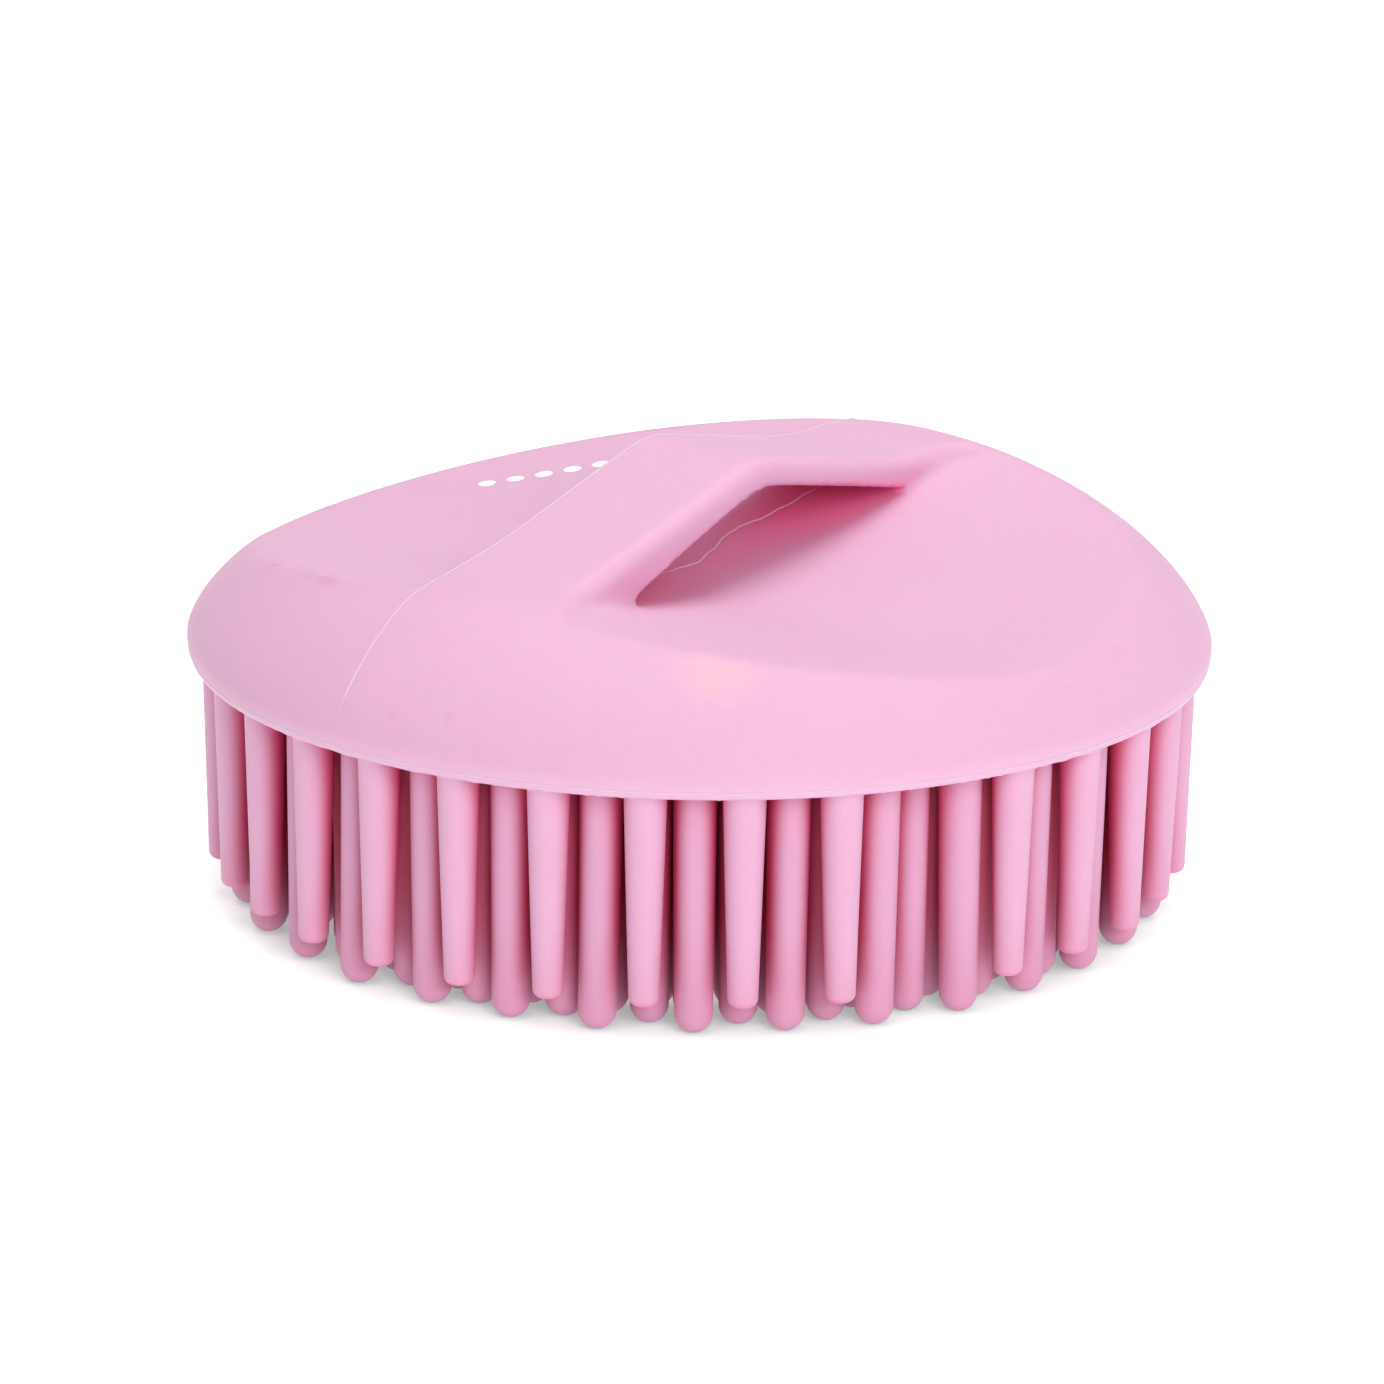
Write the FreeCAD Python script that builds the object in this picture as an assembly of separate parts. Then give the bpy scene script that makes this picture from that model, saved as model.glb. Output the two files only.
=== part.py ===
"""Silicone palm curry brush.

Frame: millimetres, +Z up, origin at the centre of the round plan, on the plane the finger tips rest on.
+X runs through the finger opening, +Y runs along the hand strap.
"""
import FreeCAD, Part
import math
import os

Vector = FreeCAD.Vector

# ---- fingers and the pad that carries them --------------------------------------------------------
RIM_Z = 26.8                 # underside of the pad, which is also the length of a long finger
PAD_RADIUS = 55.0
PAD_BAND = 1.0               # edge of the pad left visible below the cover
PAD_EDGE_ROUND = 0.4
PAD_CORE_RADIUS = 51.0       # raised core of the pad, seated in a recess under the cover
PAD_CORE_HEIGHT = 2.0

RING_COUNT = 32              # fingers in each of the five outer rings
RING_PHASE = -3.1            # degrees from +X to the first finger of the outer ring
SHORT_RING_RADIUS = 51.9     # outermost ring, tapered fingers that stop short of the resting plane
SHORT_RING_BARE = (9, 30)    # places in the outermost ring that have no finger
SECOND_RING_RADIUS = 49.4    # its fingers stand between those of the outermost ring
THIRD_RING_RADIUS = 46.8
FOURTH_RING_RADIUS = 44.2
FIFTH_RING_RADIUS = 41.6     # the five close, staggered rings shut the view between the fingers
INNER_RING_RADIUS = 34.5     # first of the evenly spaced rings that fill the middle
INNER_RING_STEP = 6.9
INNER_PITCH = 7.6            # spacing of fingers along an inner ring
INNER_RINGS = 5

SHORT_ROOT_RADIUS = 2.25
SHORT_TIP_RADIUS = 1.62
SHORT_TIP_ROUND = 0.9
SHORT_TIP_Z = 3.7
LONG_ROOT_RADIUS = 2.3
LONG_TIP_RADIUS = 2.05

# ---- cover: a squarish dome -----------------------------------------------------------------------
WIDEST_RADIUS = 55.77        # the flank bulges a little above the rim
WIDEST_RISE = 2.2
COVER_RISE = 17.08
RISE_FRONT = 0.37            # the +X side stands a little higher than the -X side
RISE_HEEL = 1.43             # the +Y end stands higher than the -Y end
RISE_WAIST = -1.12           # the sides with the finger opening stand lower than the strap's ends
FLANK_POWER_OUT = 3.33
FLANK_POWER_UP = 1.43
FLANK_STEPS = 9              # rings that shape the flank between its widest place and its shoulder
SHOULDER_RADIUS = 27.0
STOCK_RISE = 24.0            # top of the dome before the trough is cut

# ---- trough: the hollow that runs under the strap, from side to side --------------------------------
VALLEY_Y = -11.0
VALLEY_RISE = 10.1
VALLEY_ROUND = 1.5
HEEL_WALL = (7.3, 50.0, 1.8)     # height reached, at this distance from the valley, and power of the curve
TOE_WALL = (5.0, 29.0, 1.2)
SIDE_REACH = 50.0
FRONT_DROP = 1.35            # how far the valley has dropped at the front side
REAR_DROP = 3.2
FRONT_FADE = 0.34            # share of the walls' height lost at the front side
REAR_FADE = 0.39
CUTTER_STEP = 3.0

# ---- hand strap -----------------------------------------------------------------------------------
STRAP_REAR_X = -7.4
STRAP_FRONT_X = 9.0
STRAP_PEAK_Y = -0.9
STRAP_PEAK_RISE = 23.2
STRAP_TOE_SLOPE = 0.268
STRAP_HEEL_SLOPE = 0.242
STRAP_PEAK_ROUND = 2.2
STRAP_TOE_FOOT_RISE = 14.3
STRAP_HEEL_FOOT_RISE = 17.1
STRAP_FOOT_ROUND = 1.6
STRAP_TOE_END_Y = -38.6
STRAP_HEEL_END_Y = 36.2
STRAP_EDGE_ROUND = 1.4
UNDER_PEAK_RISE = 20.0
UNDER_TOE_SLOPE = 0.345
UNDER_HEEL_SLOPE = 0.225
STRAP_STEP = 2.5

# ---- printed mark: a plain row of ink dots on the rear dish --------------------------------------------
MARK_DOTS = 5
MARK_START = (-38.6, 11.4)
MARK_STEP = (2.2, 2.4)
MARK_DOT_RADIUS = 1.05
MARK_THICKNESS = 0.12


def arc_edge(start, middle, end):
    return Part.Arc(start, middle, end).toShape()


def line_edge(start, end):
    return Part.LineSegment(start, end).toShape()


def power_wall(distance, wall):
    """Height of a trough wall at a distance from the valley, rounded at its foot."""
    height, reach, power = wall
    rounded = (distance ** 2 + VALLEY_ROUND ** 2) ** (power / 2) - VALLEY_ROUND ** power
    return height * rounded / reach ** power


def trough_rise(x, y):
    """Height of the trough's surface above the rim."""
    front = x > 0
    share = min(abs(x) / SIDE_REACH, 1.0)
    drop = (FRONT_DROP if front else REAR_DROP) * (x / SIDE_REACH) ** 2
    fade = (FRONT_FADE if front else REAR_FADE) * (1 - (1 - share) ** 2)
    wall = power_wall(y - VALLEY_Y, HEEL_WALL if y > VALLEY_Y else TOE_WALL)
    return VALLEY_RISE - drop + wall * (1 - fade)


def dome_rise(angle):
    """Height of the dome above its widest place, which varies round the plan."""
    return (COVER_RISE + RISE_FRONT * math.cos(angle) + RISE_HEEL * math.sin(angle)
            + RISE_WAIST * math.cos(2 * angle))


def dome_ring(radius, rise_share):
    """Closed level curve of the dome's flank at a radius; rise_share is 0 at the widest place."""
    points = []
    for step in range(24):
        angle = math.radians(15 * step)
        z = RIM_Z + WIDEST_RISE + dome_rise(angle) * rise_share
        points.append(Vector(radius * math.cos(angle), radius * math.sin(angle), z))
    curve = Part.BSplineCurve()
    curve.interpolate(points, PeriodicFlag=True)
    return Part.Wire([curve.toShape()])


def circle_wire(radius, z):
    return Part.Wire([Part.makeCircle(radius, Vector(0, 0, z))])


def lower_flank_radius(rise):
    """Radius of the body below its widest place, a quarter ellipse."""
    return PAD_RADIUS + (WIDEST_RADIUS - PAD_RADIUS) * math.sqrt(1 - (1 - rise / WIDEST_RISE) ** 2)


def dome_stock():
    """The dome before the trough is cut: a loft through level rings, flat at both ends."""
    sections = [circle_wire(lower_flank_radius(PAD_BAND), RIM_Z + PAD_BAND)]
    middle = (PAD_BAND + WIDEST_RISE) / 2
    sections.append(circle_wire(lower_flank_radius(middle), RIM_Z + middle))
    sections.append(dome_ring(WIDEST_RADIUS, 0.0))
    for step in range(1, FLANK_STEPS + 1):
        swing = math.radians(90) * (step / FLANK_STEPS) * 0.78
        radius = WIDEST_RADIUS * math.cos(swing) ** (2 / FLANK_POWER_OUT)
        sections.append(dome_ring(radius, math.sin(swing) ** (2 / FLANK_POWER_UP)))
    sections.append(circle_wire(SHOULDER_RADIUS, RIM_Z + STOCK_RISE))
    return Part.makeLoft(sections, True, False)


def trough_cutter():
    """Everything above the trough's surface."""
    half = 22
    grid = []
    for i in range(-half, half + 1):
        x = i * CUTTER_STEP
        grid.append([Vector(x, j * CUTTER_STEP, RIM_Z + trough_rise(x, j * CUTTER_STEP))
                     for j in range(-half, half + 1)])
    surface = Part.BSplineSurface()
    surface.interpolate(grid)
    return surface.toShape().extrude(Vector(0, 0, 40))


def palm_cover():
    """Dome with the trough across its top and a recess below for the pad's core."""
    body = dome_stock().cut(trough_cutter())
    recess = Part.makeCylinder(PAD_CORE_RADIUS, PAD_CORE_HEIGHT, Vector(0, 0, RIM_Z + PAD_BAND))
    return body.cut(recess)


def strap_top(y):
    """Height of the strap's top above the rim: a soft tent that eases into level feet."""
    toe = y < STRAP_PEAK_Y
    slope = STRAP_TOE_SLOPE if toe else STRAP_HEEL_SLOPE
    foot = STRAP_TOE_FOOT_RISE if toe else STRAP_HEEL_FOOT_RISE
    run = math.hypot(y - STRAP_PEAK_Y, STRAP_PEAK_ROUND) - STRAP_PEAK_ROUND * 0.6
    ramp = STRAP_PEAK_RISE - slope * run
    return (ramp + foot + math.hypot(ramp - foot, STRAP_FOOT_ROUND)) / 2


def strap_under(y):
    """Height of the strap's underside above the rim."""
    slope = UNDER_TOE_SLOPE if y < STRAP_PEAK_Y else UNDER_HEEL_SLOPE
    run = math.hypot(y - STRAP_PEAK_Y, STRAP_PEAK_ROUND) - STRAP_PEAK_ROUND * 0.6
    return UNDER_PEAK_RISE - slope * run


def strap_curve(height):
    """The strap's top or underside as one smooth curve along Y."""
    steps = round((STRAP_HEEL_END_Y - STRAP_TOE_END_Y) / STRAP_STEP)
    points = []
    for step in range(steps + 1):
        y = STRAP_TOE_END_Y + (STRAP_HEEL_END_Y - STRAP_TOE_END_Y) * step / steps
        points.append(Vector(STRAP_REAR_X, y, RIM_Z + height(y)))
    curve = Part.BSplineCurve()
    curve.interpolate(points)
    return curve.toShape(), points[0], points[-1]


def hand_strap(cover):
    """Arched strap over the trough; its feet end on the cover."""
    top, top_toe, top_heel = strap_curve(strap_top)
    under, under_toe, under_heel = strap_curve(strap_under)
    outline = Part.Wire([top, line_edge(top_heel, under_heel), under, line_edge(under_toe, top_toe)])
    blank = Part.Face(outline).extrude(Vector(STRAP_FRONT_X - STRAP_REAR_X, 0, 0))
    long_top_edges = [edge for edge in blank.Edges
                      if edge.BoundBox.YLength > 60 and edge.BoundBox.ZMax > RIM_Z + UNDER_PEAK_RISE + 1]
    return blank.makeFillet(STRAP_EDGE_ROUND, long_top_edges).cut(cover)


def trough_normal(x, y):
    step = 0.1
    slope_x = (trough_rise(x + step, y) - trough_rise(x - step, y)) / (2 * step)
    slope_y = (trough_rise(x, y + step) - trough_rise(x, y - step)) / (2 * step)
    return Vector(-slope_x, -slope_y, 1).normalize()


def printed_mark(cover):
    """Thin ink dots lying on the trough's surface, square to it."""
    dots = []
    for index in range(MARK_DOTS):
        x = MARK_START[0] + index * MARK_STEP[0]
        y = MARK_START[1] + index * MARK_STEP[1]
        normal = trough_normal(x, y)
        base = Vector(x, y, RIM_Z + trough_rise(x, y)) - normal * 1.0
        dots.append(Part.makeCylinder(MARK_DOT_RADIUS, 1.0 + MARK_THICKNESS, base, normal).cut(cover))
    return Part.makeCompound(dots)


def finger_pad():
    """Disc that carries the fingers, with a raised core that sits inside the cover."""
    band = Part.makeCylinder(PAD_RADIUS, PAD_BAND, Vector(0, 0, RIM_Z))
    lower_edge = [edge for edge in band.Edges if edge.BoundBox.ZMax < RIM_Z + 0.01]
    band = band.makeFillet(PAD_EDGE_ROUND, lower_edge)
    core = Part.makeCylinder(PAD_CORE_RADIUS, PAD_CORE_HEIGHT, Vector(0, 0, RIM_Z + PAD_BAND))
    return band.fuse(core).removeSplitter()


def revolve_profile(edges):
    face = Part.Face(Part.Wire(edges))
    return face.revolve(Vector(0, 0, 0), Vector(0, 0, 1), 360)


def rounded_finger(root_radius, tip_radius, tip_round, tip_z):
    """Tapered finger below the pad; its side runs tangent into the rounded tip, so it is convex."""
    flat = tip_radius - tip_round
    centre = Vector(flat, 0, tip_z + tip_round)
    across = root_radius - flat
    down = RIM_Z - centre.z
    taper = math.acos(tip_round / math.hypot(across, down)) - math.atan2(down, across)
    middle = (taper + math.radians(90)) / 2
    start = centre + Vector(math.cos(taper), 0, -math.sin(taper)) * tip_round
    bend = centre + Vector(math.cos(middle), 0, -math.sin(middle)) * tip_round
    end = Vector(flat, 0, tip_z)
    root = Vector(root_radius, 0, RIM_Z)
    axis_root = Vector(0, 0, RIM_Z)
    axis_tip = Vector(0, 0, tip_z)
    edges = [line_edge(axis_root, root), line_edge(root, start), arc_edge(start, bend, end)]
    if flat > 0:
        edges.append(line_edge(end, axis_tip))
    edges.append(line_edge(axis_tip, axis_root))
    return revolve_profile(edges)


def finger_ring(finger, radius, count, phase, bare=()):
    """Fingers evenly spaced round a circle; phase is the first one's angle in degrees."""
    fingers = []
    for index in range(count):
        if index in bare:
            continue
        angle = math.radians(phase + 360.0 * index / count)
        copy = finger.copy()
        copy.translate(Vector(radius * math.cos(angle), radius * math.sin(angle), 0))
        fingers.append(copy)
    return Part.makeCompound(fingers)


def finger_rings():
    """Every ring of fingers, from the outside in."""
    short = rounded_finger(SHORT_ROOT_RADIUS, SHORT_TIP_RADIUS, SHORT_TIP_ROUND, SHORT_TIP_Z)
    long = rounded_finger(LONG_ROOT_RADIUS, LONG_TIP_RADIUS, LONG_TIP_RADIUS, 0.0)
    half_step = 180.0 / RING_COUNT
    rings = {
        "finger_ring_1_short": finger_ring(
            short, SHORT_RING_RADIUS, RING_COUNT, RING_PHASE, SHORT_RING_BARE),
        "finger_ring_2": finger_ring(long, SECOND_RING_RADIUS, RING_COUNT, RING_PHASE + half_step),
        "finger_ring_3": finger_ring(long, THIRD_RING_RADIUS, RING_COUNT, RING_PHASE),
        "finger_ring_4": finger_ring(long, FOURTH_RING_RADIUS, RING_COUNT, RING_PHASE + half_step),
        "finger_ring_5": finger_ring(long, FIFTH_RING_RADIUS, RING_COUNT, RING_PHASE),
    }
    for index in range(INNER_RINGS):
        radius = INNER_RING_RADIUS - index * INNER_RING_STEP
        count = round(2 * math.pi * radius / INNER_PITCH)
        rings[f"finger_ring_{index + 6}"] = finger_ring(long, radius, count, RING_PHASE)
    rings["finger_centre"] = long
    return rings


def main():
    os.makedirs("parts", exist_ok=True)
    cover = palm_cover()
    nodes = {
        "palm_cover": cover,
        "hand_strap": hand_strap(cover),
        "printed_mark": printed_mark(cover),
        "finger_pad": finger_pad(),
    }
    nodes.update(finger_rings())
    for name, shape in nodes.items():
        shape.exportStep(f"parts/{name}.step")
        box = shape.BoundBox
        print(f"{name}: solids {len(shape.Solids)}, valid {shape.isValid()}, volume {shape.Volume:.0f}, "
              f"z {box.ZMin:.2f} to {box.ZMax:.2f}")


main()
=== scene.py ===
"""Looks of the silicone palm curry brush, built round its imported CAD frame."""
import math
import random

import bpy
import numpy as np
from mathutils import Matrix, Vector


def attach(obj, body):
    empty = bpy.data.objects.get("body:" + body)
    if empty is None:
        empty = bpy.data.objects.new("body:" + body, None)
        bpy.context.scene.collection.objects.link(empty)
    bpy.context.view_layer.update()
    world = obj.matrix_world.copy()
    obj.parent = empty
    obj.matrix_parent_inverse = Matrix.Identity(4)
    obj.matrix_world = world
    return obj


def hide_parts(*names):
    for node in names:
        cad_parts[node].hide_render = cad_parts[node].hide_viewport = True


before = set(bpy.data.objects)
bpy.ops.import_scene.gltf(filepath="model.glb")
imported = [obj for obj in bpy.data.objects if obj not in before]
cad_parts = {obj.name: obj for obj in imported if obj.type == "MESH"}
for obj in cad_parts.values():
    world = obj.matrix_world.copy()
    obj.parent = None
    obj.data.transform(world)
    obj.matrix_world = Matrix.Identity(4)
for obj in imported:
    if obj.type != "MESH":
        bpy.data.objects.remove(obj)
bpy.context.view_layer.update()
MM = 0.001

# ---- sizes, in millimetres; "rise" is height above the underside of the finger pad -----------------
RIM_Z = 26.8
PAD_RADIUS = 55.0
PAD_BAND = 1.0
PAD_INSET = 0.35                # the pad's edge lies this far inside the skin's lower edge
PAD_BEVEL = 0.1
PAD_SIDES = 240

# cover: a squarish dome, its rise changing round the plan
WIDEST_RADIUS = 55.77
WIDEST_RISE = 2.2
COVER_RISE = 17.08
RISE_FRONT = 0.37
RISE_HEEL = 1.43
RISE_WAIST = -1.12
FLANK_POWER_OUT = 3.33
FLANK_POWER_UP = 1.43
FLATTEST_SLOPE = 0.012
CREST_ROUND = 0.5               # where the dome meets the trough

# trough across the cover: each wall is its height, its reach and the power of its curve
VALLEY_Y = -11.0
VALLEY_RISE = 10.1
VALLEY_ROUND = 0.8
HEEL_WALL = (7.3, 50.0, 1.8)
TOE_WALL = (5.0, 29.0, 1.2)
SIDE_REACH = 50.0
FRONT_DROP = 1.35
REAR_DROP = 2.75
FRONT_FADE = 0.34
REAR_FADE = 0.39

STRAP_REAR_X = -7.4
STRAP_FRONT_X = 9.0
STRAP_PEAK_Y = -0.9
STRAP_PEAK_RISE = 23.09
STRAP_TOE_SLOPE = 0.268
STRAP_HEEL_SLOPE = 0.242
STRAP_MEAN_SLOPE = 0.25
STRAP_PEAK_ROUND = 2.2
STRAP_TOE_FOOT_RISE = 14.3
STRAP_HEEL_FOOT_RISE = 17.1
STRAP_FOOT_ROUND = 1.6
TOE_FLARE = 3.4                 # the strap widens into the crests
HEEL_FLARE = 3.6
FLARE_SLOPE = 0.22
TOP_EDGE_FRONT = 1.75           # rounding of the strap's four long edges
TOP_EDGE_REAR = 0.85
LOW_EDGE_FRONT = 0.3
LOW_EDGE_REAR = 0.5
STRAP_INSET = 1.0               # the strap's ends stay this far inside the dome
STRAP_END_ROUND = 0.6
STRAP_JOIN = 0.35               # soft join of strap and cover, wider at the feet
FOOT_JOIN = 1.3
UNDER_PEAK_RISE = 20.0
UNDER_TOE_SLOPE = 0.345
UNDER_HEEL_SLOPE = 0.225
TUNNEL_TOE_Y = 24.0
TUNNEL_END_ROUND = 0.6

GRID_STEP = 0.55
GRID_LOW = (-57.0, -57.0, -0.6)
GRID_HIGH = (57.0, 57.0, 25.0)
SKIN_FLOOR = 0.15               # the skin stops just above the pad's underside
CREASE_WIDTH = 0.9

# moulding lines
PARTING_X = -6.6
PARTING_START_Y = -54.6
PARTING_END_Y = 44.0
PARTING_STEP = 0.4
PARTING_RADIUS = 0.125
PARTING_SINK = 0.08
GAP_LINE_Y = (-9.5, -8.8, -3.8, 1.0, 6.3, 11.6, 17.6, 22.5)
GAP_LINE_X = (1.2, 1.6, 2.65, 1.2, -0.5, 0.6, 0.9, 1.2)
GAP_LINE_SHIFT = (-1.3, 1.6)
GAP_LINE_STEP = 0.5
GAP_LINE_RADIUS = 0.11
BEAD_RISE = 1.0
BEAD_RADIUS = 0.07
BEAD_INSET = 0.03
BEAD_SIDES = 6

# fingers: each is its root radius, tip radius, tip rounding and the height of its tip
SHORT_FINGER = (2.25, 1.62, 0.9, 3.7)
LONG_FINGER = (2.3, 2.05, 2.05, 0.0)
FINGER_FILLET = 0.75
FINGER_SINK = 0.3               # the root is sunk this far into the pad
FINGER_LEAN = 0.20
FINGER_MOST_LEAN = 0.45
OUTER_SIDES = 24
INNER_SIDES = 16
OUTER_SEED = 11                 # each ring draws its leans from a seed of its own
INNER_SEED = 31
CENTRE_SEED = 51
RING_COUNT = 32
RING_PHASE = -3.1
SHORT_RING_BARE = (9, 30)       # places in the outermost ring that have no finger
OUTER_RINGS = (
    ("finger_ring_1_short", 51.9, 0.0),
    ("finger_ring_2", 49.4, 0.5),
    ("finger_ring_3", 46.8, 0.0),
    ("finger_ring_4", 44.2, 0.5),
    ("finger_ring_5", 41.6, 0.0),
)
INNER_RING_RADIUS = 34.5
INNER_RING_STEP = 6.9
INNER_PITCH = 7.6
INNER_RINGS = 5

# printed row of dots: each ring of a dot is its share of the radius and its height on the skin
MARK_DOTS = 5
MARK_START = (-38.6, 11.4)
MARK_STEP = (2.2, 2.4)
MARK_DOT_RADIUS = 1.05
MARK_SIDES = 28
MARK_RINGS = ((1.0, -0.04), (0.97, 0.03), (0.9, 0.055), (0.6, 0.06), (0.3, 0.06))
MARK_TOP = 0.06
MARK_BOTTOM = -0.04

# ---- colours ---------------------------------------------------------------------------------------
SKIN_COLOUR = (0.672, 0.382, 0.545)
# painted shade: the fingers and pad are a slightly darker, more saturated copy of the skin colour
FINGER_COLOUR = (0.645, 0.355, 0.510)
SHADED_COLOUR = (0.615, 0.322, 0.474)      # painted shade: a darker copy of the finger colour for the rings behind, which take more colour from their neighbours
# painted highlight: the moulding lines are a lighter copy of the skin colour
FLASH_HIGHLIGHT_COLOUR = (0.88, 0.58, 0.72)
SKIN_HOLLOW_SHADE = (1.22, 0.46, 0.71)           # painted shade: how the colour is scaled deep in a hollow
FLASH_HOLLOW_SHADE = (1.0, 0.7, 0.8)
FINGER_HOLLOW_SHADE = (0.92, 0.15, 0.28)
FLECK_COLOUR = (0.30, 0.10, 0.16)
SMUDGE_COLOUR = (0.42, 0.14, 0.22)
CREASE_COLOUR = (0.55, 0.22, 0.34)
PEACH_COLOUR = (0.86, 0.46, 0.45)
INK_COLOUR = (0.92, 0.90, 0.91)
WORN_INK_COLOUR = (0.84, 0.56, 0.70)
PAPER_COLOURS = ((0.70, 0.755, 0.735), (0.72, 0.775, 0.755))
# painted shadow on the floor close to what touches it: the paper's colour and its dimmed glow
PAPER_PAINTED_SHADOW = (0.66, 0.78, 0.74)
GLOW_PAINTED_SHADOW = (0.42, 0.50, 0.46)

# marks on the skin: place, radius and strength
PEACH_BLOTCH = ((29.6, -36.8, 38.1), 5.2, 0.36)
SMUDGES = (
    ((5.5, 9.5, 48.4), 0.42, 0.75),
    ((7.5, -53.2, 33.0), 1.1, 0.07),
    ((1.0, -54.2, 32.0), 0.8, 0.08),
    ((-33.0, -35.0, 37.2), 0.9, 0.10),
)

# ---- camera, angles in degrees and places in millimetres -------------------------------------------
CAMERA_AZIMUTH = 36.555
CAMERA_ELEVATION = 16.860
CAMERA_ROLL = 0.794
CAMERA_DISTANCE = 793.76
CAMERA_AIM = (-0.729, 21.795)              # offset along the view's level right, height
CAMERA_LENS = 188.85


# ---- the skin's shape as a field, positive inside --------------------------------------------------
def soft_min(a, b, reach):
    """Smaller of two fields, with a rounded join about that reach wide."""
    return (a + b - np.sqrt((a - b) ** 2 + reach ** 2)) / 2


def soft_max(a, b, reach):
    """Larger of two fields, with a rounded join about that reach wide."""
    return (a + b + np.sqrt((a - b) ** 2 + reach ** 2)) / 2


def smooth_step(x, start, end):
    t = np.clip((x - start) / (end - start), 0, 1)
    return t * t * (3 - 2 * t)


def power_wall(distance, wall):
    """Rise of a trough wall at a distance from the valley line."""
    height, reach, power = wall
    rounded = (distance ** 2 + VALLEY_ROUND ** 2) ** (power / 2) - VALLEY_ROUND ** power
    return height * rounded / reach ** power


def trough_rise(x, y):
    share = np.minimum(np.abs(x) / SIDE_REACH, 1.0)
    drop = np.where(x > 0, FRONT_DROP, REAR_DROP) * (x / SIDE_REACH) ** 2
    fade = np.where(x > 0, FRONT_FADE, REAR_FADE) * (1 - (1 - share) ** 2)
    away = y - VALLEY_Y
    wall = np.where(away > 0, power_wall(away, HEEL_WALL), power_wall(away, TOE_WALL))
    return VALLEY_RISE - drop + wall * (1 - fade)


def flank_radius(rise):
    """Radius of the cover between the rim and its widest place."""
    below = 1 - np.clip(rise, 0, WIDEST_RISE) / WIDEST_RISE
    return PAD_RADIUS + (WIDEST_RADIUS - PAD_RADIUS) * np.sqrt(1 - below ** 2)


def dome_field(x, y, z):
    radius = np.sqrt(x * x + y * y) + 1e-6
    cosine = x / radius
    sine = y / radius
    rise = COVER_RISE + RISE_FRONT * cosine + RISE_HEEL * sine + RISE_WAIST * (cosine ** 2 - sine ** 2)
    up = np.maximum(z - WIDEST_RISE, 0) / rise
    out = radius / WIDEST_RADIUS
    level = 1 - out ** FLANK_POWER_OUT - up ** FLANK_POWER_UP
    slope_out = FLANK_POWER_OUT * out ** (FLANK_POWER_OUT - 1) / WIDEST_RADIUS
    slope_up = FLANK_POWER_UP * up ** (FLANK_POWER_UP - 1) / rise
    upper = level / np.maximum(np.sqrt(slope_out ** 2 + slope_up ** 2), FLATTEST_SLOPE)
    return np.where(z >= WIDEST_RISE, upper, flank_radius(z) - radius)


def trough_field(x, y, z):
    step = 0.05
    height = trough_rise(x, y)
    slope_x = (trough_rise(x + step, y) - height) / step
    slope_y = (trough_rise(x, y + step) - height) / step
    return (height - z) / np.sqrt(1 + slope_x ** 2 + slope_y ** 2)


def strap_run(y):
    """Distance along the strap from its blunt peak."""
    return np.sqrt((y - STRAP_PEAK_Y) ** 2 + STRAP_PEAK_ROUND ** 2) - STRAP_PEAK_ROUND * 0.6


def strap_top(y):
    toe = y < STRAP_PEAK_Y
    ramp_down = STRAP_PEAK_RISE - np.where(toe, STRAP_TOE_SLOPE, STRAP_HEEL_SLOPE) * strap_run(y)
    foot = np.where(toe, STRAP_TOE_FOOT_RISE, STRAP_HEEL_FOOT_RISE)
    return soft_max(ramp_down, foot, STRAP_FOOT_ROUND)


def strap_under(y):
    slope = np.where(y < STRAP_PEAK_Y, UNDER_TOE_SLOPE, UNDER_HEEL_SLOPE)
    return UNDER_PEAK_RISE - slope * strap_run(y)


def round_corner(a, b, radius):
    """Inside of two walls that meet in a corner of that radius."""
    deep_a = np.maximum(radius - a, 0)
    deep_b = np.maximum(radius - b, 0)
    rounded = radius - np.sqrt(deep_a ** 2 + deep_b ** 2)
    return np.where((a < radius) & (b < radius), rounded, np.minimum(a, b))


def strap_field(x, y, z):
    tilt = math.cos(math.atan(STRAP_MEAN_SLOPE))
    from_top = (strap_top(y) - z) * tilt
    from_under = soft_max((z - strap_under(y)) * tilt, -TUNNEL_TOE_Y - y, TUNNEL_END_ROUND)
    flare = TOE_FLARE * smooth_step(-y, 33.0, 42.0) + HEEL_FLARE * smooth_step(y, 33.0, 40.0)
    from_front = (STRAP_FRONT_X + flare - x) / np.sqrt(1 + (flare * FLARE_SLOPE) ** 2)
    from_rear = x - STRAP_REAR_X
    upper = np.minimum(round_corner(from_top, from_front, TOP_EDGE_FRONT),
                       round_corner(from_top, from_rear, TOP_EDGE_REAR))
    lower = np.minimum(round_corner(from_under, from_front, LOW_EDGE_FRONT),
                       round_corner(from_under, from_rear, LOW_EDGE_REAR))
    return np.minimum(upper, lower)


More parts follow.
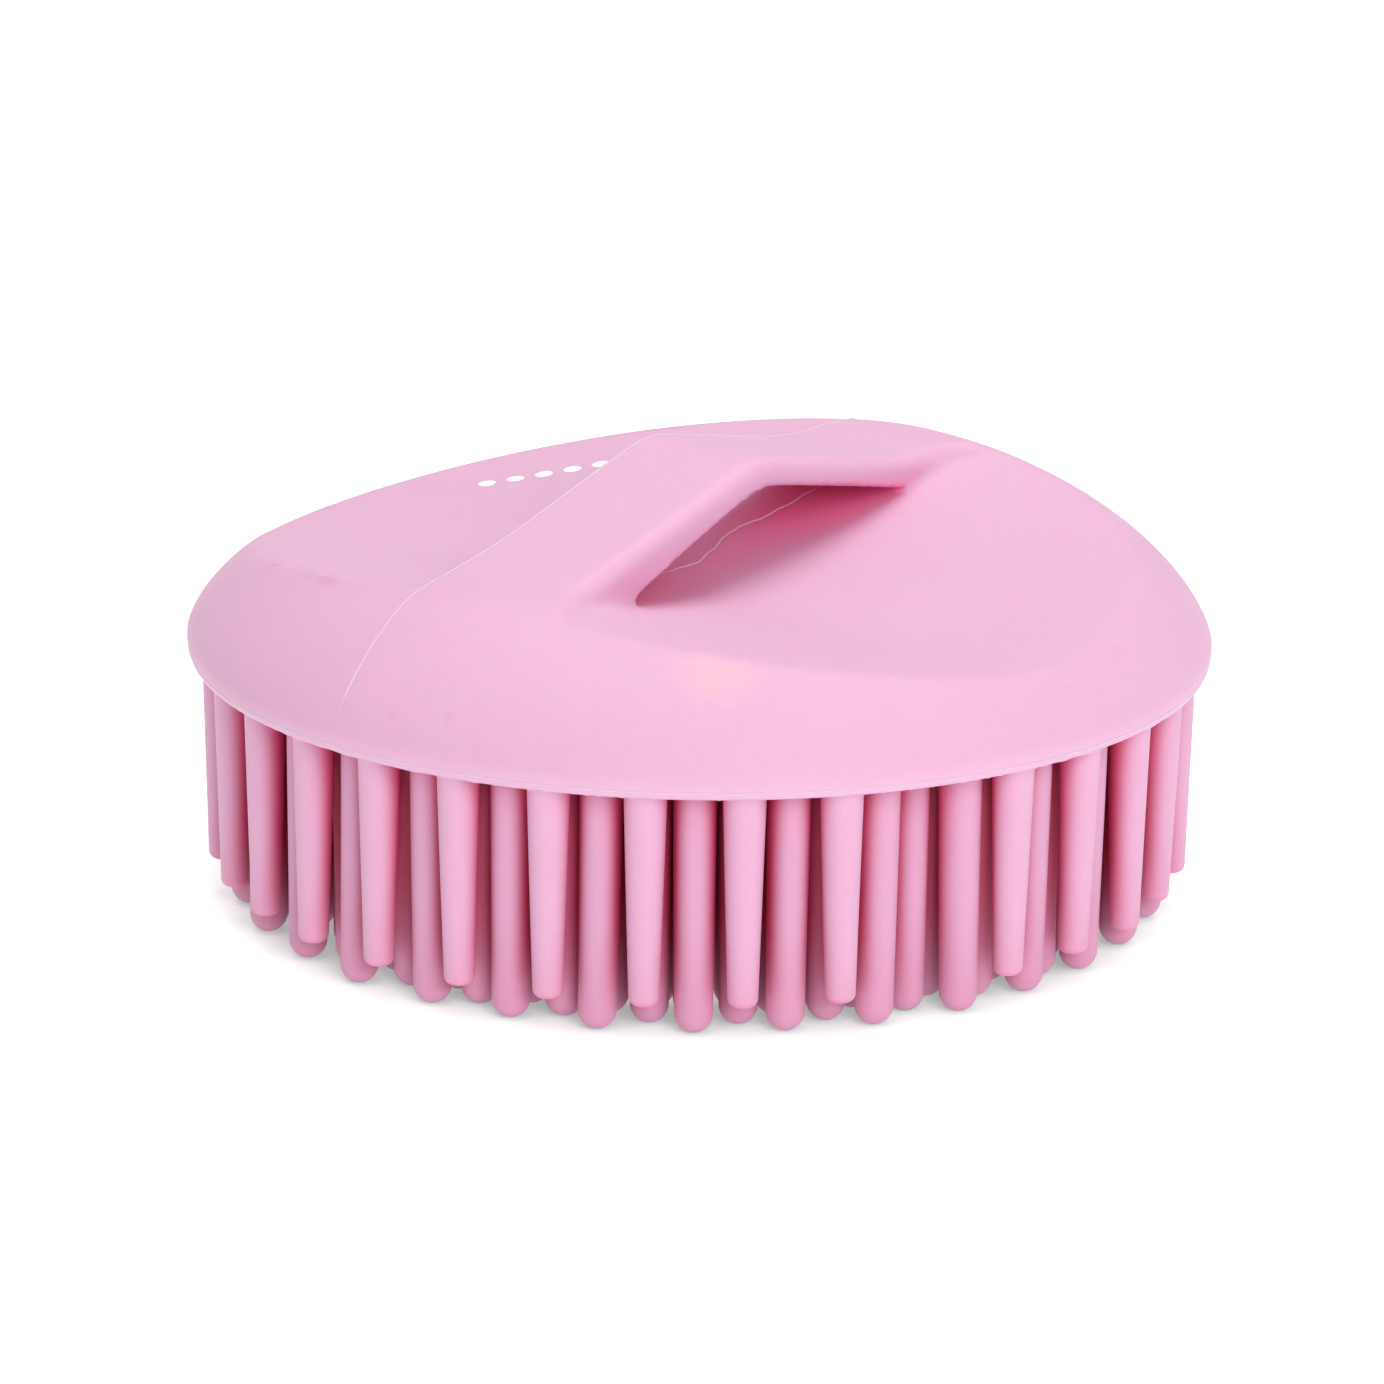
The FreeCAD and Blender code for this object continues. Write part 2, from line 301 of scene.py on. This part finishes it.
def skin_field(points):
    """Cover and strap as one moulding, kept inside the dome at the strap's ends."""
    x, y, z = points[:, 0], points[:, 1], points[:, 2]
    dome = dome_field(x, y, z)
    body = soft_min(dome, trough_field(x, y, z), CREST_ROUND)
    keep = dome - STRAP_INSET + 10.0 * (1 - smooth_step(np.abs(y + 0.5), 31.0, 40.0))
    strap = soft_min(strap_field(x, y, z), keep, STRAP_END_ROUND)
    toe_foot = smooth_step(-y, 21.0, 30.0) * (1 - 0.85 * smooth_step(-y, 33.0, 40.0))
    heel_foot = smooth_step(y, 25.0, 32.0) * (1 - 0.85 * smooth_step(y, 31.0, 38.0))
    whole = soft_max(body, strap, STRAP_JOIN + FOOT_JOIN * (toe_foot + heel_foot))
    whole = np.minimum(whole, dome + 6.0 * (1 - smooth_step(np.abs(y), 40.0, 46.0)))
    return soft_min(whole, z - SKIN_FLOOR, 0.03)


def gradient(field, points):
    step = 0.03
    parts = []
    for axis in range(3):
        shift = np.zeros(3)
        shift[axis] = step
        parts.append((field(points + shift) - field(points - shift)) / (2 * step))
    return np.stack(parts, 1)


def settle(field, points, rounds):
    """Moves points onto the field's surface."""
    longest = 0.4
    for _ in range(rounds):
        slope = gradient(field, points)
        size = np.maximum((slope ** 2).sum(1), 0.05)
        move = -(field(points) / size)[:, None] * slope
        points = points + np.clip(move, -longest, longest)
    return points


# ---- a smooth quad mesh round a field's zero level -------------------------------------------------
def sample_grid(field, low, high, step):
    """The field's value at every corner of a grid of cells."""
    counts = [int(math.ceil((high[a] - low[a]) / step)) + 1 for a in range(3)]
    axes = [low[a] + step * np.arange(counts[a]) for a in range(3)]
    volume = np.empty(counts)
    across, along = np.meshgrid(axes[0], axes[1], indexing="ij")
    for level in range(counts[2]):
        layer = np.stack([across.ravel(), along.ravel(), np.full(across.size, axes[2][level])], 1)
        volume[:, :, level] = field(layer).reshape(counts[0], counts[1])
    return volume


def crossed_cells(inside):
    """Cells that have corners both inside and outside."""
    nx, ny, nz = [count - 1 for count in inside.shape]
    total = np.zeros((nx, ny, nz), np.int8)
    for dx in (0, 1):
        for dy in (0, 1):
            for dz in (0, 1):
                total += inside[dx:dx + nx, dy:dy + ny, dz:dz + nz]
    return (total > 0) & (total < 8)


def cell_points(volume, cells):
    """One point in each crossed cell: the mean of the crossings on its edges, in grid steps."""
    place = np.zeros((len(cells), 3))
    found = np.zeros(len(cells))
    for axis in range(3):
        one, two = [a for a in range(3) if a != axis]
        for s in (0, 1):
            for t in (0, 1):
                start = cells.copy()
                start[:, one] += s
                start[:, two] += t
                end = start.copy()
                end[:, axis] += 1
                near = volume[tuple(start.T)]
                far = volume[tuple(end.T)]
                cross = (near > 0) != (far > 0)
                share = np.where(cross, near / np.where(cross, near - far, 1), 0)
                crossing = start.astype(float)
                crossing[:, axis] += share
                place += np.where(cross[:, None], crossing, 0)
                found += cross
    return place / found[:, None]


def cell_quads(inside, index):
    """A quad round each grid edge that the surface crosses, facing outwards."""
    quads = []
    for axis, (one, two) in enumerate(((1, 2), (2, 0), (0, 1))):
        first = np.take(inside, range(inside.shape[axis] - 1), axis)
        second = np.take(inside, range(1, inside.shape[axis]), axis)
        edge = np.argwhere(first != second)
        edge = edge[(edge[:, one] > 0) & (edge[:, two] > 0)]
        outward = first[tuple(edge.T)]
        ring = []
        for s, t in ((-1, -1), (0, -1), (0, 0), (-1, 0)):
            cell = edge.copy()
            cell[:, one] += s
            cell[:, two] += t
            ring.append(index[tuple(cell.T)])
        ring = np.stack(ring, 1)
        ring[~outward] = ring[~outward][:, ::-1]
        quads.append(ring)
    return np.concatenate(quads)


def surface_net(field, low, high, step):
    volume = sample_grid(field, low, high, step)
    inside = volume > 0
    active = crossed_cells(inside)
    index = np.full(active.shape, -1, np.int64)
    index[active] = np.arange(active.sum())
    points = np.array(low) + step * cell_points(volume, np.argwhere(active))
    return points, cell_quads(inside, index)


def relax(points, quads, rounds):
    """Evens out the mesh along the surface, then puts it back on the surface."""
    for _ in range(rounds):
        total = np.zeros_like(points)
        count = np.zeros(len(points))
        for side in range(4):
            a = quads[:, side]
            b = quads[:, (side + 1) % 4]
            np.add.at(total, a, points[b])
            np.add.at(total, b, points[a])
            np.add.at(count, a, 1)
            np.add.at(count, b, 1)
        points = points * 0.5 + total / count[:, None] * 0.5
        points = settle(skin_field, points, 2)
    return points


# ---- shader nodes ----------------------------------------------------------------------------------
def new_material(name):
    material = bpy.data.materials.new(name)
    material.use_nodes = True
    tree = material.node_tree
    tree.nodes.clear()
    output = tree.nodes.new("ShaderNodeOutputMaterial")
    shader = tree.nodes.new("ShaderNodeBsdfPrincipled")
    tree.links.new(shader.outputs["BSDF"], output.inputs["Surface"])
    return material, tree, shader


def add(tree, kind, **values):
    """A node with sockets or settings of those names set."""
    node = tree.nodes.new(kind)
    for name, value in values.items():
        if name in node.inputs:
            node.inputs[name].default_value = value
        else:
            setattr(node, name, value)
    return node


def object_coordinates(tree):
    return add(tree, "ShaderNodeTexCoord").outputs["Object"]


def noise(tree, coordinates, scale, detail=3.0, rough=0.55):
    node = add(tree, "ShaderNodeTexNoise", Scale=scale, Detail=detail, Roughness=rough)
    tree.links.new(coordinates, node.inputs["Vector"])
    return node.outputs["Fac"]


def ramp(tree, source, start, end):
    """0 at the start value and 1 at the end value, eased between."""
    node = add(tree, "ShaderNodeMapRange", interpolation_type="SMOOTHSTEP")
    node.inputs["From Min"].default_value = start
    node.inputs["From Max"].default_value = end
    tree.links.new(source, node.inputs["Value"])
    return node.outputs["Result"]


def times(tree, a, b):
    node = add(tree, "ShaderNodeMath", operation="MULTIPLY")
    tree.links.new(a, node.inputs[0])
    if isinstance(b, float):
        node.inputs[1].default_value = b
    else:
        tree.links.new(b, node.inputs[1])
    return node.outputs[0]


def plain(tree, colour):
    node = add(tree, "ShaderNodeRGB")
    node.outputs[0].default_value = (*colour, 1)
    return node.outputs[0]


def tint(tree, base, factor, colour):
    """The base colour mixed towards another by a factor."""
    node = add(tree, "ShaderNodeMix", data_type="RGBA")
    tree.links.new(factor, node.inputs[0])
    tree.links.new(base, node.inputs[6])
    node.inputs[7].default_value = (*colour, 1)
    return node.outputs[2]


def spot(tree, coordinates, centre, radius, warp):
    """1 near a place on the object, 0 away from it, with an uneven edge."""
    offset = add(tree, "ShaderNodeVectorMath", operation="DISTANCE")
    tree.links.new(coordinates, offset.inputs[0])
    offset.inputs[1].default_value = [c * MM for c in centre]
    uneven = add(tree, "ShaderNodeMath", operation="MULTIPLY_ADD")
    tree.links.new(warp, uneven.inputs[0])
    uneven.inputs[1].default_value = radius * 0.9 * MM
    tree.links.new(offset.outputs["Value"], uneven.inputs[2])
    return ramp(tree, uneven.outputs[0], radius * 1.45 * MM, radius * 0.75 * MM)


def grain(tree, shader, height, strength, depth):
    bump = add(tree, "ShaderNodeBump", Strength=strength, Distance=depth)
    tree.links.new(height, bump.inputs["Height"])
    tree.links.new(bump.outputs["Normal"], shader.inputs["Normal"])


# ---- materials -------------------------------------------------------------------------------------
def pigment(tree, coordinates, colour):
    """The base colour, a little uneven on a large scale and on a fine one."""
    darker = [c * 0.965 for c in colour]
    lighter = [min(1, c * 1.03) for c in colour]
    broad = tint(tree, plain(tree, darker), noise(tree, coordinates, 38.0), lighter)
    mottle = times(tree, ramp(tree, noise(tree, coordinates, 900.0, 2.0), 0.50, 0.72), 0.13)
    return tint(tree, broad, mottle, [c * 0.86 for c in colour])


def with_flecks(tree, coordinates, base):
    """A few dark specks of dust."""
    cells = add(tree, "ShaderNodeTexVoronoi", Scale=150.0, Randomness=1.0)
    tree.links.new(coordinates, cells.inputs["Vector"])
    near = ramp(tree, cells.outputs["Distance"], 0.040, 0.022)
    pick = add(tree, "ShaderNodeSeparateColor")
    tree.links.new(cells.outputs["Color"], pick.inputs[0])
    chosen = ramp(tree, pick.outputs[0], 0.86, 0.90)
    return tint(tree, base, times(tree, times(tree, near, chosen), 0.55), FLECK_COLOUR)


def with_stains_and_crease_darkening(tree, coordinates, axes, base):
    """The peach blotch, the smudges and a patchy darkening along the rear crease."""
    warp = noise(tree, coordinates, 420.0, 4.0)
    centre, radius, strength = PEACH_BLOTCH
    peach = spot(tree, coordinates, centre, radius, warp)
    result = tint(tree, base, times(tree, peach, strength), PEACH_COLOUR)
    for centre, radius, strength in SMUDGES:
        mask = spot(tree, coordinates, centre, radius, warp)
        result = tint(tree, result, times(tree, mask, strength), SMUDGE_COLOUR)
    # darker, patchy colour along the crease, growing towards the rear
    crease = add(tree, "ShaderNodeAttribute", attribute_name="crease")
    patchy = ramp(tree, noise(tree, coordinates, 140.0, 5.0, 0.7), 0.52, 0.66)
    rear = ramp(tree, axes.outputs["X"], 0.0, -22.0 * MM)
    crease_darkening = times(tree, times(tree, crease.outputs["Fac"], patchy), rear)
    return tint(tree, result, times(tree, crease_darkening, 0.42), CREASE_COLOUR)


def with_painted_hollow_shade(tree, axes, base, reach, colour):
    """Painted shade for light that bounces between soft walls: the colour is deepened in hollows found
    by ambient occlusion, less so near the floor.
    """
    hollow = add(tree, "ShaderNodeAmbientOcclusion", Distance=reach * MM, samples=6)
    deep = ramp(tree, hollow.outputs["AO"], 0.84, 0.14)
    off_floor = ramp(tree, axes.outputs["Z"], -4.0 * MM, 14.0 * MM)
    return tint(tree, base, times(tree, deep, off_floor), colour)


def uneven_gloss(tree, coordinates, shader):
    rough = add(tree, "ShaderNodeMapRange")
    rough.inputs["To Min"].default_value = 0.50
    rough.inputs["To Max"].default_value = 0.60
    tree.links.new(ramp(tree, noise(tree, coordinates, 60.0), 0.2, 0.8), rough.inputs["Value"])
    tree.links.new(rough.outputs["Result"], shader.inputs["Roughness"])


def silicone(name, colour, hollow_reach, hollow_shade_tint, with_skin_marks=False):
    """Matte pink silicone that lets a little light through, with shade painted into its hollows."""
    material, tree, shader = new_material(name)
    coordinates = object_coordinates(tree)
    axes = add(tree, "ShaderNodeSeparateXYZ")
    tree.links.new(coordinates, axes.inputs[0])
    result = with_flecks(tree, coordinates, pigment(tree, coordinates, colour))
    if with_skin_marks:
        result = with_stains_and_crease_darkening(tree, coordinates, axes, result)
    painted_shade_colour = [c * t for c, t in zip(colour, hollow_shade_tint)]
    # painted shade: the colour is deepened where ambient occlusion finds a hollow
    result = with_painted_hollow_shade(tree, axes, result, hollow_reach, painted_shade_colour)
    tree.links.new(result, shader.inputs["Base Color"])
    uneven_gloss(tree, coordinates, shader)
    grain(tree, shader, noise(tree, coordinates, 3200.0, 2.0), 0.10, 0.05 * MM)
    shader.inputs["IOR"].default_value = 1.42
    shader.inputs["Subsurface Weight"].default_value = 0.35
    shader.inputs["Subsurface Radius"].default_value = (1.0, 0.22, 0.32)
    shader.inputs["Subsurface Scale"].default_value = 3.0 * MM
    shader.inputs["Specular IOR Level"].default_value = 0.3
    return material


def ink(name):
    """White ink, worn thin in patches."""
    material, tree, shader = new_material(name)
    worn = noise(tree, object_coordinates(tree), 2600.0, 4.0, 0.5)
    patches = times(tree, ramp(tree, worn, 0.58, 0.70), 0.45)
    result = tint(tree, plain(tree, INK_COLOUR), patches, WORN_INK_COLOUR)
    tree.links.new(result, shader.inputs["Base Color"])
    grain(tree, shader, worn, 0.15, 0.03 * MM)
    shader.inputs["Roughness"].default_value = 0.5
    return material


def floor_paper(name):
    """White paper that glows a little, with a painted grey-green shadow close to what touches it."""
    material, tree, shader = new_material(name)
    low, high = PAPER_COLOURS
    fibres = noise(tree, object_coordinates(tree), 40.0, 2.0, 0.5)
    paper = tint(tree, plain(tree, low), fibres, high)
    # painted shadow: ambient occlusion darkens the paper and its glow near the brush
    nearby = add(tree, "ShaderNodeAmbientOcclusion", Distance=5.0 * MM, samples=6)
    painted_contact_shadow = ramp(tree, nearby.outputs["AO"], 0.85, 0.25)
    tree.links.new(tint(tree, paper, painted_contact_shadow, PAPER_PAINTED_SHADOW), shader.inputs["Base Color"])
    glow = tint(tree, plain(tree, (1, 1, 1)), painted_contact_shadow, GLOW_PAINTED_SHADOW)
    tree.links.new(glow, shader.inputs["Emission Color"])
    shader.inputs["Roughness"].default_value = 0.9
    shader.inputs["Specular IOR Level"].default_value = 0.1
    shader.inputs["Emission Strength"].default_value = 0.58
    return material


# ---- meshes ----------------------------------------------------------------------------------------
def make_object(name, points, faces, material):
    """A smooth-shaded piece from points in millimetres above the resting plane."""
    mesh = bpy.data.meshes.new(name)
    mesh.from_pydata((np.asarray(points) * MM).tolist(), [], [list(map(int, f)) for f in faces])
    mesh.validate()
    mesh.shade_smooth()
    mesh.materials.append(material)
    piece = bpy.data.objects.new(name, mesh)
    bpy.context.scene.collection.objects.link(piece)
    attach(piece, "root")
    return piece


def tube(path, radii, sides=8):
    """Closed thin tube along a path, for a moulding line."""
    path = np.asarray(path)
    ahead = np.gradient(path, axis=0)
    ahead /= np.linalg.norm(ahead, axis=1)[:, None]
    up = np.array([0.0, 0.0, 1.0]) * np.ones_like(ahead)
    up[np.abs(ahead[:, 2]) > 0.95] = (0, 1, 0)
    side = np.cross(ahead, up)
    side /= np.linalg.norm(side, axis=1)[:, None]
    up = np.cross(side, ahead)
    points = []
    for i in range(len(path)):
        for k in range(sides):
            turn = 2 * math.pi * k / sides
            points.append(path[i] + radii[i] * (math.cos(turn) * side[i] + math.sin(turn) * up[i]))
    faces = []
    for i in range(len(path) - 1):
        here = i * sides
        there = here + sides
        for k in range(sides):
            n = (k + 1) % sides
            faces.append((here + k, here + n, there + n, there + k))
    last = (len(path) - 1) * sides
    faces.append(list(range(sides))[::-1])
    faces.append([last + k for k in range(sides)])
    return np.array(points), faces


def revolve(profile, sides):
    """Closed mesh from (radius, height) pairs that begin and end on the axis."""
    points = [(0, 0, profile[0][1])]
    faces = []
    rings = profile[1:-1]
    for radius, height in rings:
        for k in range(sides):
            turn = 2 * math.pi * k / sides
            points.append((radius * math.cos(turn), radius * math.sin(turn), height))
    points.append((0, 0, profile[-1][1]))
    last = len(points) - 1
    for k in range(sides):
        n = (k + 1) % sides
        faces.append((0, 1 + k, 1 + n))
        for i in range(len(rings) - 1):
            a = 1 + i * sides
            faces.append((a + k, a + sides + k, a + sides + n, a + n))
        a = 1 + (len(rings) - 1) * sides
        faces.append((last, a + n, a + k))
    return np.array(points, float), faces


def taper(count, ends):
    """Share of a line's full width at each of its points, thinning over its two ends."""
    near_end = np.minimum(np.arange(count), np.arange(count)[::-1])
    return np.clip((near_end + 1) / ends, 0, 1)


def lift(points):
    """From rise above the pad to height above the resting plane."""
    return np.asarray(points) + np.array([0, 0, RIM_Z])


def drape(x, y):
    """Rise of the skin's top surface at places given by x and y, found from above."""
    rise = np.full(x.shape, GRID_HIGH[2])
    for _ in range(60):
        value = skin_field(np.stack([x, y, rise], 1))
        rise = rise + np.clip(value, -0.8, 0.4)
    return rise


# ---- the brush -------------------------------------------------------------------------------------
def silicone_skin(material):
    """Cover and strap as one moulding; where dome and trough meet is marked as a crease."""
    net, quads = surface_net(skin_field, GRID_LOW, GRID_HIGH, GRID_STEP)
    net = relax(settle(skin_field, net, 4), quads, 3)
    skin = make_object("silicone_skin", lift(net), quads, material)
    apart = np.abs(dome_field(*net.T) - trough_field(*net.T))
    crease = np.exp(-(apart / CREASE_WIDTH) ** 2)
    attribute = skin.data.attributes.new("crease", "FLOAT", "POINT")
    attribute.data.foreach_set("value", crease.astype(np.float32))
    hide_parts("palm_cover", "hand_strap")


def parting_line(material):
    """Moulding line up the toe flank, along the strap's rear shoulder and over the heel, coloured
    lighter as a painted highlight.
    """
    y = np.arange(PARTING_START_Y, PARTING_END_Y, PARTING_STEP)
    x = PARTING_X - 0.3 * smooth_step(-y, 36.0, 41.0) + 0.8 * smooth_step(-y, 41.0, 55.0)
    path = np.stack([x, y, drape(x, y) - PARTING_SINK], 1)
    radii = PARTING_RADIUS * np.maximum(taper(len(path), 5), 0.15)
    points, faces = tube(path, radii)
    make_object("parting_line", lift(points), faces, material)


def trough_line(material):
    """Wandering flash line on the trough's floor, under the strap, coloured lighter as a painted
    highlight.
    """
    y = np.arange(GAP_LINE_Y[0], GAP_LINE_Y[-1], GAP_LINE_STEP)
    x = np.interp(y, GAP_LINE_Y, GAP_LINE_X)
    x = np.convolve(np.pad(x, 3, mode="edge"), np.ones(7) / 7, "valid")
    x = x + 0.12 * np.sin(y * 1.3) + 0.04 * np.sin(y * 3.1) + GAP_LINE_SHIFT[0]
    y = y + GAP_LINE_SHIFT[1]
    radii = GAP_LINE_RADIUS * np.maximum(taper(len(y), 8), 0.2)
    points, faces = tube(np.stack([x, y, trough_rise(x, y)], 1), radii)
    make_object("trough_line", lift(points), faces, material)


def finger_pad(material):
    edge = PAD_RADIUS - PAD_INSET
    profile = [(0, 0), (edge - PAD_BEVEL, 0), (edge, PAD_BEVEL), (edge, PAD_BAND), (0, PAD_BAND)]
    points, faces = revolve(profile, PAD_SIDES)
    pad = make_object("finger_pad_visual", lift(points), faces, material)
    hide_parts("finger_pad")


def rim_line(material):
    """Thin bead round the rim, where the cover meets the finger pad, coloured lighter as a painted
    highlight.
    """
    middle = float(flank_radius(BEAD_RISE)) - BEAD_INSET
    turns = np.radians(np.arange(0, 360, 1.5))
    points = []
    faces = []
    for index, turn in enumerate(turns):
        here = index * BEAD_SIDES
        there = (index + 1) % len(turns) * BEAD_SIDES
        for k in range(BEAD_SIDES):
            swing = 2 * math.pi * k / BEAD_SIDES
            reach = middle + BEAD_RADIUS * math.cos(swing)
            rise = BEAD_RISE + BEAD_RADIUS * math.sin(swing)
            points.append((reach * math.cos(turn), reach * math.sin(turn), rise))
            n = (k + 1) % BEAD_SIDES
            faces.append((here + k, there + k, there + n, here + n))
    make_object("rim_line", lift(points), faces, material)


def finger_profile(finger):
    """From the root, sunk a little into the pad, down to the tip."""
    root, tip, rounding, bottom = finger
    flat = tip - rounding
    wide = root + FINGER_FILLET
    profile = [(0, RIM_Z + FINGER_SINK), (wide, RIM_Z + FINGER_SINK), (wide, RIM_Z + 0.02)]
    for step in range(1, 5):
        turn = math.radians(90 * step / 4)
        profile.append((root + FINGER_FILLET * (1 - math.sin(turn)),
                        RIM_Z - FINGER_FILLET * (1 - math.cos(turn))))
    top = RIM_Z - FINGER_FILLET
    end = bottom + rounding
    for step in range(1, 7):
        share = step / 6
        profile.append((root + (tip - root) * share, top + (end - top) * share))
    for step in range(1, 7):
        turn = math.radians(90 * step / 7)
        profile.append((flat + rounding * math.cos(turn), end - rounding * math.sin(turn)))
    if flat > 0:
        profile.append((flat, bottom))
    profile.append((0, bottom))
    return profile


def finger_ring(name, finger, radius, count, phase, material, sides, seed, bare=()):
    """One ring of fingers as one mesh; each leans a little its own way."""
    dice = random.Random(seed)
    base, base_faces = revolve(finger_profile(finger), sides)
    drop = ((RIM_Z - base[:, 2]) / RIM_Z).clip(0, 1) ** 1.5
    points = []
    faces = []
    for index in range(count):
        if index in bare:
            continue
        turn = math.radians(phase + 360.0 * index / count)
        lean = np.array([dice.gauss(0, FINGER_LEAN), dice.gauss(0, FINGER_LEAN)])
        lean = lean.clip(-FINGER_MOST_LEAN, FINGER_MOST_LEAN)
        copy = base.copy()
        copy[:, 0] += radius * math.cos(turn) + drop * lean[0]
        copy[:, 1] += radius * math.sin(turn) + drop * lean[1]
        faces += [[i + len(points) * len(base) for i in face] for face in base_faces]
        points.append(copy)
    piece = make_object(name + "_visual", np.concatenate(points), faces, material)
    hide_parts(name)


def finger_rings(front_material, shaded_material):
    """Five close, staggered rings, then evenly spaced ones, then the centre finger."""
    # the short front ring takes the finger colour; every ring behind takes the darker copy with
    # painted shade
    for number, (name, radius, shift) in enumerate(OUTER_RINGS):
        phase = RING_PHASE + shift * 360 / RING_COUNT
        if number == 0:
            finger_ring(name, SHORT_FINGER, radius, RING_COUNT, phase, front_material, OUTER_SIDES,
                        OUTER_SEED, SHORT_RING_BARE)
        else:
            finger_ring(name, LONG_FINGER, radius, RING_COUNT, phase, shaded_material, OUTER_SIDES,
                        OUTER_SEED + number)
    for number in range(INNER_RINGS):
        name = f"finger_ring_{len(OUTER_RINGS) + 1 + number}"
        radius = INNER_RING_RADIUS - number * INNER_RING_STEP
        count = round(2 * math.pi * radius / INNER_PITCH)
        finger_ring(name, LONG_FINGER, radius, count, RING_PHASE, shaded_material, INNER_SIDES,
                    INNER_SEED + number)
    finger_ring("finger_centre", LONG_FINGER, 0.0, 1, 0.0, shaded_material, INNER_SIDES, CENTRE_SEED)


def printed_mark(material):
    """A row of thin ink discs that follow the skin."""
    points = []
    faces = []
    for index in range(MARK_DOTS):
        centre_x = MARK_START[0] + index * MARK_STEP[0]
        centre_y = MARK_START[1] + index * MARK_STEP[1]
        start = len(points)
        for share, height in MARK_RINGS:
            for k in range(MARK_SIDES):
                turn = 2 * math.pi * k / MARK_SIDES
                x = centre_x + MARK_DOT_RADIUS * share * math.cos(turn)
                y = centre_y + MARK_DOT_RADIUS * share * math.sin(turn)
                points.append((x, y, float(trough_rise(x, y)) + height))
        centre_rise = float(trough_rise(centre_x, centre_y))
        points.append((centre_x, centre_y, centre_rise + MARK_TOP))
        points.append((centre_x, centre_y, centre_rise + MARK_BOTTOM))
        top = len(points) - 2
        inner = start + (len(MARK_RINGS) - 1) * MARK_SIDES
        for k in range(MARK_SIDES):
            n = (k + 1) % MARK_SIDES
            for a in range(start, inner, MARK_SIDES):
                faces.append((a + k, a + n, a + MARK_SIDES + n, a + MARK_SIDES + k))
            faces.append((inner + k, inner + n, top))
            faces.append((start + n, start + k, top + 1))
    mark = make_object("printed_mark_visual", lift(points), faces, material)
    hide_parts("printed_mark")


# ---- floor, light and camera -----------------------------------------------------------------------
def stage_floor():
    half = 3.0
    corners = [(-half, -half, 0), (half, -half, 0), (half, half, 0), (-half, half, 0)]
    mesh = bpy.data.meshes.new("floor")
    mesh.from_pydata(corners, [], [(0, 1, 2, 3)])
    mesh.materials.append(floor_paper("floor_paper"))
    floor = bpy.data.objects.new("floor", mesh)
    bpy.context.scene.collection.objects.link(floor)


def area_light(name, place, target, size, power):
    data = bpy.data.lights.new(name, "AREA")
    data.shape = "DISK"
    data.size = size
    data.energy = power
    lamp = bpy.data.objects.new(name, data)
    lamp.location = place
    lamp.rotation_mode = "QUATERNION"
    lamp.rotation_quaternion = (Vector(target) - Vector(place)).to_track_quat("-Z", "Y")
    bpy.context.scene.collection.objects.link(lamp)


def soft_light():
    world = bpy.data.worlds.new("studio")
    bpy.context.scene.world = world
    world.use_nodes = True
    background = world.node_tree.nodes["Background"]
    background.inputs["Color"].default_value = (1, 1, 1, 1)
    background.inputs["Strength"].default_value = 0.50
    area_light("top", (-0.12, 0.15, 0.85), (0, 0, 0.03), 0.6, 4.8)
    area_light("front", (0.87, -0.61, 0.55), (0, 0, 0.02), 0.7, 7.5)


def place_camera():
    azimuth = math.radians(CAMERA_AZIMUTH)
    elevation = math.radians(CAMERA_ELEVATION)
    roll = math.radians(CAMERA_ROLL)
    level = Vector((math.cos(azimuth), math.sin(azimuth), 0))
    away = Vector((math.sin(azimuth), -math.cos(azimuth), 0))
    back = away * math.cos(elevation) + Vector((0, 0, math.sin(elevation)))
    right = level * math.cos(roll) + back.cross(level) * math.sin(roll)
    up = back.cross(right)
    aim = level * CAMERA_AIM[0] + Vector((0, 0, CAMERA_AIM[1]))
    place = (aim + back * CAMERA_DISTANCE) * MM
    data = bpy.data.cameras.new("camera")
    data.lens = CAMERA_LENS
    data.sensor_width = 36.0
    data.clip_start = 0.05
    data.clip_end = 20.0
    camera = bpy.data.objects.new("camera", data)
    camera.matrix_world = Matrix.Translation(place) @ Matrix((right, up, back)).transposed().to_4x4()
    bpy.context.scene.collection.objects.link(camera)
    bpy.context.scene.camera = camera


# ---- everything put together -----------------------------------------------------------------------
# each silicone paints shade into its hollows with its own hollow tint
skin_material = silicone("silicone_skin", SKIN_COLOUR, 12.0, SKIN_HOLLOW_SHADE, with_skin_marks=True)
# the flash material is a painted highlight for the parting line, the trough line and the rim bead
flash_material = silicone("silicone_flash_painted_highlight", FLASH_HIGHLIGHT_COLOUR, 3.0, FLASH_HOLLOW_SHADE)
finger_material = silicone("silicone_fingers", FINGER_COLOUR, 14.0, FINGER_HOLLOW_SHADE)
shaded_material = silicone("silicone_inner_fingers_painted_shade", SHADED_COLOUR, 14.0, FINGER_HOLLOW_SHADE)

silicone_skin(skin_material)
parting_line(flash_material)
trough_line(flash_material)
finger_pad(finger_material)
rim_line(flash_material)
finger_rings(finger_material, shaded_material)
printed_mark(ink("white_ink"))

stage_floor()
soft_light()
place_camera()
bpy.context.scene.view_settings.view_transform = "Standard"
